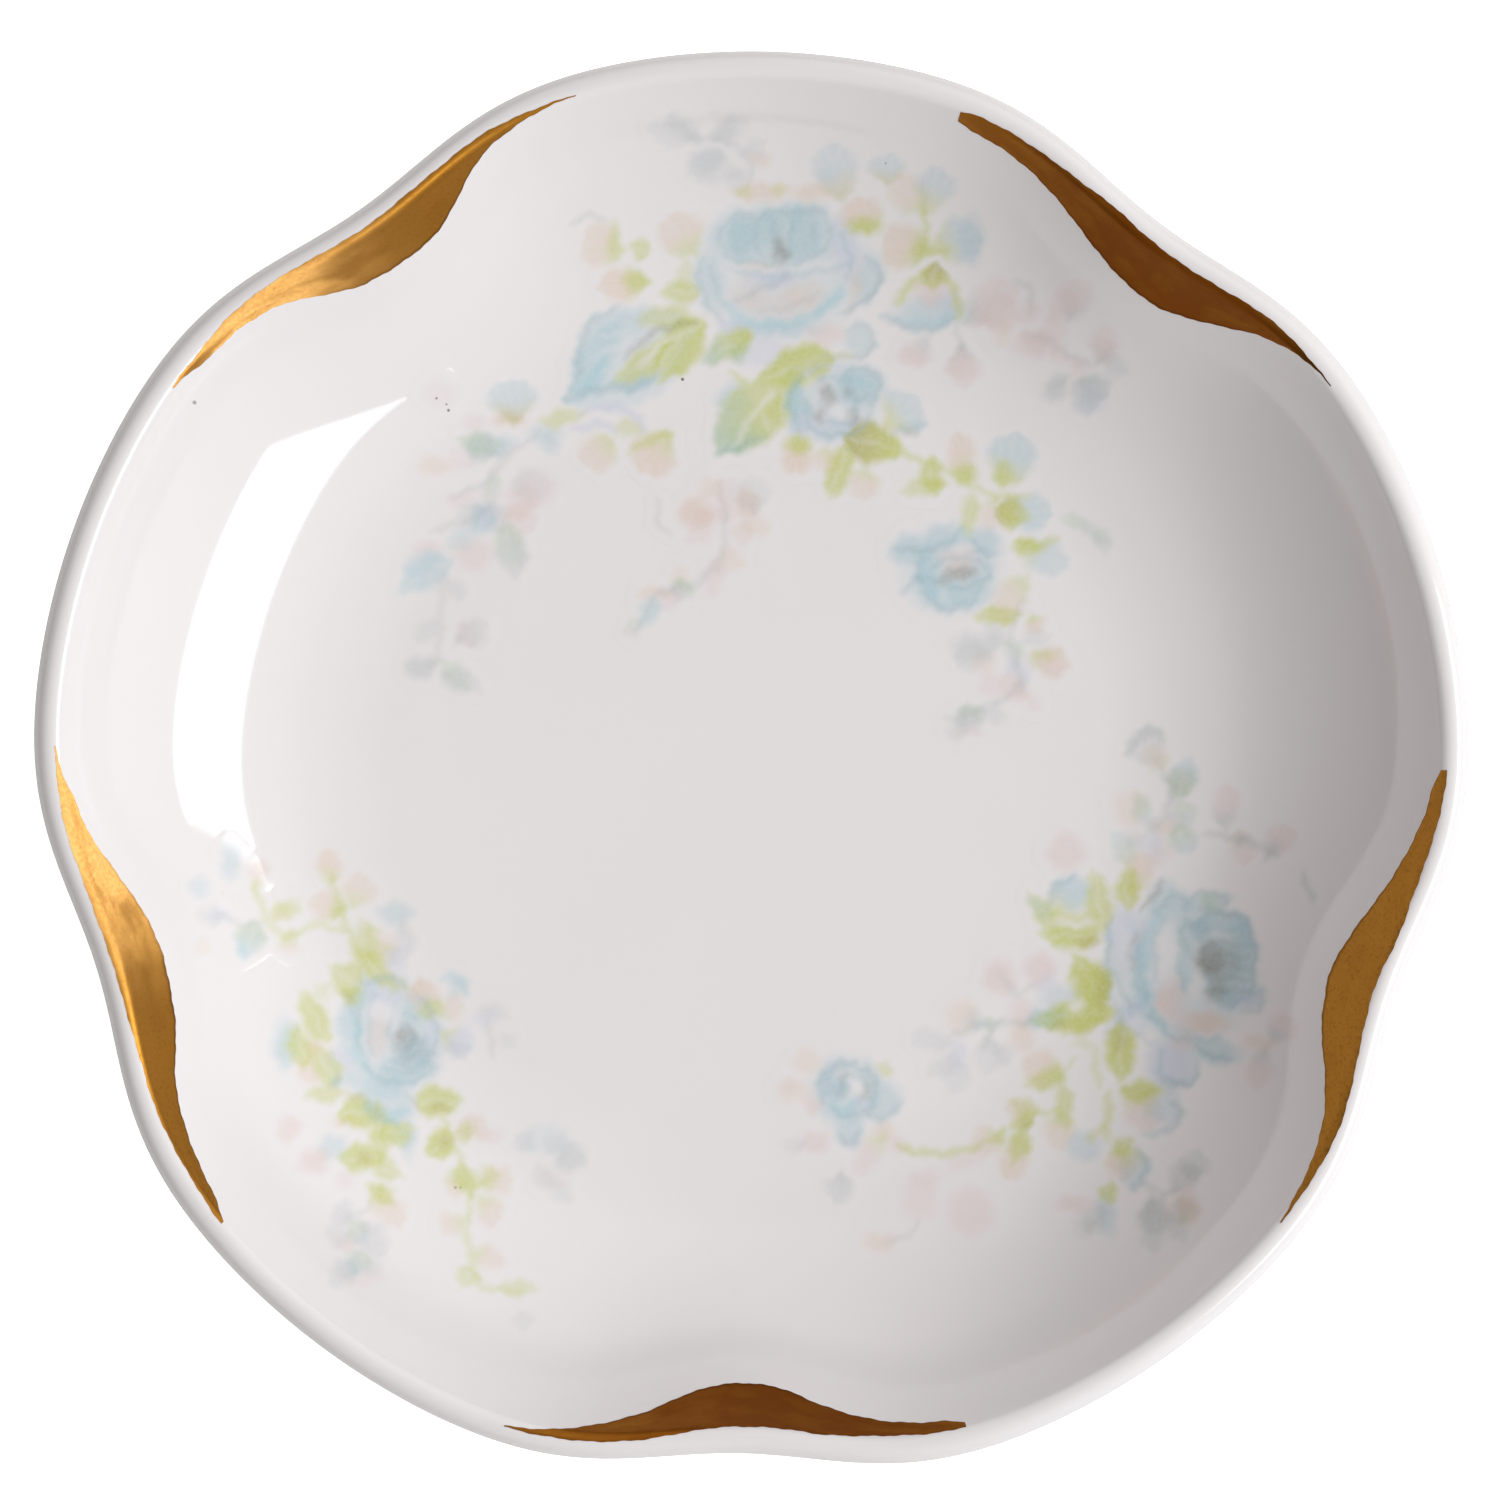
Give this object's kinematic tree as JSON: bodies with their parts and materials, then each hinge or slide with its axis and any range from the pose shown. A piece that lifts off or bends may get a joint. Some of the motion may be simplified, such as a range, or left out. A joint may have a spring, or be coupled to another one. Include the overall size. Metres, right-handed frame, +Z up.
{
  "type": "butter pat",
  "caption": "Small lobed porcelain dish on a foot ring, with gilt strokes inside the pinched lip and printed rose sprays, for a single serving of butter at table.",
  "frame": {"origin": "on the table plane under the middle of the dish's plan box; the five-fold axis of the dish stands 0.79 mm in front of it", "axes": "+Z up, -Y towards the pinch at the bottom of the picture, +X to the right in the picture"},
  "size_m": [0.0788, 0.0774, 0.013],
  "materials": {
    "porcelain": "clear gloss glaze over white hard-paste porcelain, foot ring wiped bare",
    "gilt": "brushed and burnished gold, fired on",
    "transfer": "soft blue, green and pink transfer print under gloss"
  },
  "bodies": {
    "root": {"porcelain_dish": "porcelain", "gilt_stroke_front": "gilt", "gilt_stroke_right": "gilt", "gilt_stroke_back_right": "gilt", "gilt_stroke_back_left": "gilt", "gilt_stroke_left": "gilt", "transfer_spray_back": "transfer", "transfer_spray_right": "transfer", "transfer_spray_left": "transfer"}
  },
  "joints": []
}
